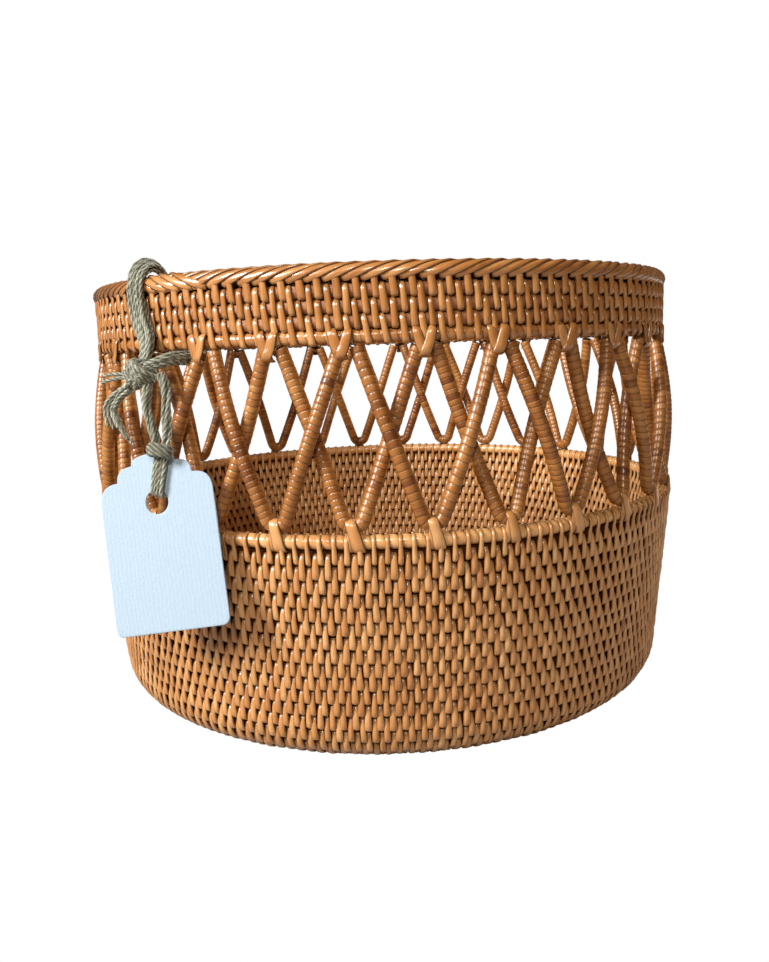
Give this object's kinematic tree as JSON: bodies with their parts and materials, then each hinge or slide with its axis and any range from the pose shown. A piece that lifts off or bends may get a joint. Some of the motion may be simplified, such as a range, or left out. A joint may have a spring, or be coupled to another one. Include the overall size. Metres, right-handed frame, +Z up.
{
  "type": "woven cachepot",
  "caption": "Round rattan cachepot: coiled lower wall, open zigzag cane lattice, stitched band with plaited rim, and a card tag on a cotton cord.",
  "frame": {"origin": "middle of the flat underside, on the surface that the pot stands on", "axes": "+Z up through the opening, -Y towards the viewer, +X to the viewer's right"},
  "size_m": [0.298, 0.2987, 0.2067],
  "materials": {
    "wall_rattan": "satin peeled rattan, stitched",
    "wrapped_cane": "glossy rattan skin, closely wrapped",
    "band_rattan": "satin rattan skin, stitched and plaited",
    "cotton_cord": "soft loose-spun cotton, sage green",
    "tag_card": "matt laid card, white"
  },
  "bodies": {
    "basket": {"band_hoop_1": "band_rattan", "band_hoop_2": "band_rattan", "band_hoop_3": "band_rattan", "band_hoop_4": "band_rattan", "base_coil": "wall_rattan", "foot_coil": "wall_rattan", "hang_knot": "cotton_cord", "hang_loop": "cotton_cord", "lattice_inner_01": "wrapped_cane", "lattice_inner_02": "wrapped_cane", "lattice_inner_03": "wrapped_cane", "lattice_inner_04": "wrapped_cane", "lattice_inner_05": "wrapped_cane", "lattice_inner_06": "wrapped_cane", "lattice_inner_07": "wrapped_cane", "lattice_inner_08": "wrapped_cane", "lattice_inner_09": "wrapped_cane", "lattice_inner_10": "wrapped_cane", "lattice_inner_11": "wrapped_cane", "lattice_inner_12": "wrapped_cane", "lattice_inner_13": "wrapped_cane", "lattice_inner_14": "wrapped_cane", "lattice_inner_15": "wrapped_cane", "lattice_outer_01": "wrapped_cane", "lattice_outer_02": "wrapped_cane", "lattice_outer_03": "wrapped_cane", "lattice_outer_04": "wrapped_cane", "lattice_outer_05": "wrapped_cane", "lattice_outer_06": "wrapped_cane", "lattice_outer_07": "wrapped_cane", "lattice_outer_08": "wrapped_cane", "lattice_outer_09": "wrapped_cane", "lattice_outer_10": "wrapped_cane", "lattice_outer_11": "wrapped_cane", "lattice_outer_12": "wrapped_cane", "lattice_outer_13": "wrapped_cane", "lattice_outer_14": "wrapped_cane", "lattice_outer_15": "wrapped_cane", "rim_braid": "band_rattan", "tail_lower": "cotton_cord", "tail_upper": "cotton_cord", "wall_coil": "wall_rattan", "wall_rim_hoop": "wrapped_cane"},
    "bridle": {"bridle_left": "cotton_cord", "bridle_right": "cotton_cord", "tag_collar": "cotton_cord", "tag_loop": "cotton_cord"},
    "tag": {"hang_tag": "tag_card"}
  },
  "joints": [
    {"name": "cord_swing", "type": "hinge", "parent": "basket", "child": "bridle", "pos_m": [-0.09698, -0.11842, 0.1609], "axis": [-0.7547, 0.6561, 0], "range_deg": [0, 95]},
    {"name": "tag_sway", "type": "hinge", "parent": "bridle", "child": "tag", "pos_m": [-0.09, -0.1329, 0.1111], "axis": [-0.2072, -0.9585, 0.1959], "range_deg": [-24, 24]}
  ]
}
